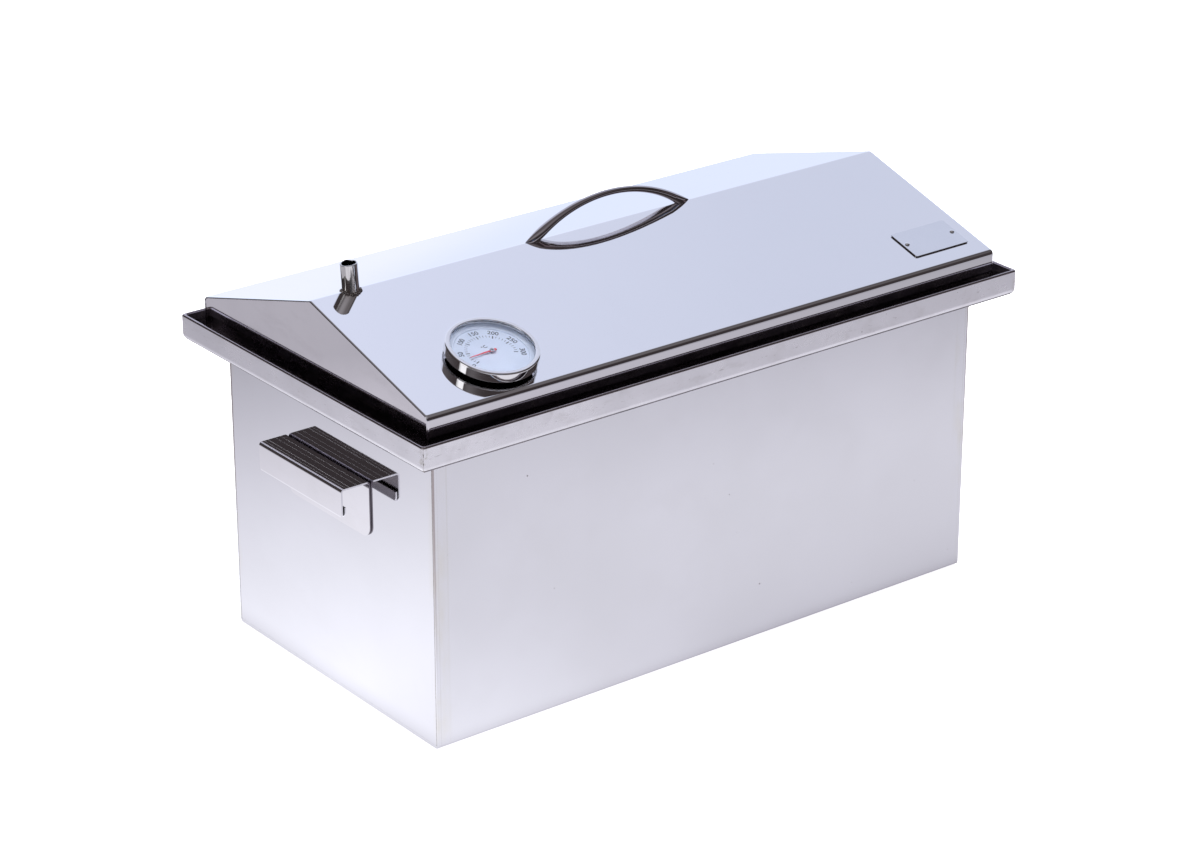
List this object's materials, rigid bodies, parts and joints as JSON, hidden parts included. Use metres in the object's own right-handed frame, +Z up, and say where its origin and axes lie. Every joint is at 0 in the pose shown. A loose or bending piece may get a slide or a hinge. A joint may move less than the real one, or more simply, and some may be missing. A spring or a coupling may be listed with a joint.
{
  "type": "hot smoker box",
  "caption": "Rectangular stainless hot smoker box with a water channel round its rim, a gabled lift-off lid with dial thermometer and smoke tube, grates and a drip tray.",
  "frame": {"origin": "centre of the box's flat underside, on the surface it stands on", "axes": "+X along the long side, +Y to the back, +Z up; the thermometer and badge are on the front slope, towards -Y"},
  "size_m": [0.55, 0.3096, 0.3297],
  "materials": {
    "steel_sheet": "bright rolled stainless sheet, satin",
    "polished_steel": "mirror polished stainless",
    "steel_wire": "drawn stainless wire",
    "badge_steel": "satin name plate, blank",
    "clear_glass": "clear",
    "dial_paint": "matt pale blue-white",
    "red_paint": "satin red"
  },
  "bodies": {
    "box": {"body_shell": "steel_sheet", "left_end_panel": "steel_sheet", "right_end_panel": "steel_sheet", "channel_front": "steel_sheet", "channel_back": "steel_sheet", "channel_left": "steel_sheet", "channel_right": "steel_sheet", "left_handle": "steel_sheet", "right_handle": "steel_sheet", "lower_ledge_left": "steel_sheet", "lower_ledge_right": "steel_sheet", "upper_ledge_left": "steel_sheet", "upper_ledge_right": "steel_sheet"},
    "lid": {"lid_roof": "polished_steel", "lid_gable_left": "polished_steel", "lid_gable_right": "polished_steel", "lid_handle": "polished_steel", "smoke_tube": "polished_steel", "badge_plate": "badge_steel", "badge_rivet_left": "polished_steel", "badge_rivet_right": "polished_steel", "thermometer_bezel": "polished_steel", "thermometer_case": "steel_sheet", "thermometer_lens": "clear_glass", "thermometer_dial": "dial_paint", "thermometer_stem": "polished_steel", "thermometer_washer": "steel_sheet", "thermometer_nut": "steel_sheet"},
    "pointer": {"thermometer_pointer": "red_paint", "pointer_cap": "polished_steel"},
    "upper_grate": {"upper_grate": "steel_wire"},
    "lower_grate": {"lower_grate": "steel_wire"},
    "tray": {"drip_tray": "steel_sheet", "drip_tray_leg_left": "steel_sheet", "drip_tray_leg_right": "steel_sheet"}
  },
  "joints": [
    {"name": "lid_lift", "type": "slide", "parent": "box", "child": "lid", "axis": [0, 0, 1], "range_m": [0, 0.12]},
    {"name": "pointer_turn", "type": "hinge", "parent": "lid", "child": "pointer", "pos_m": [-0.1807, -0.10357, 0.2751], "axis": [0, -0.2774, 0.9608], "range_deg": [-205, 19]},
    {"name": "upper_grate_lift", "type": "slide", "parent": "box", "child": "upper_grate", "axis": [0, 0, 1], "range_m": [0, 0.04]},
    {"name": "lower_grate_lift", "type": "slide", "parent": "box", "child": "lower_grate", "axis": [0, 0, 1], "range_m": [0, 0.05]},
    {"name": "tray_lift", "type": "slide", "parent": "box", "child": "tray", "axis": [0, 0, 1], "range_m": [0, 0.025]}
  ]
}
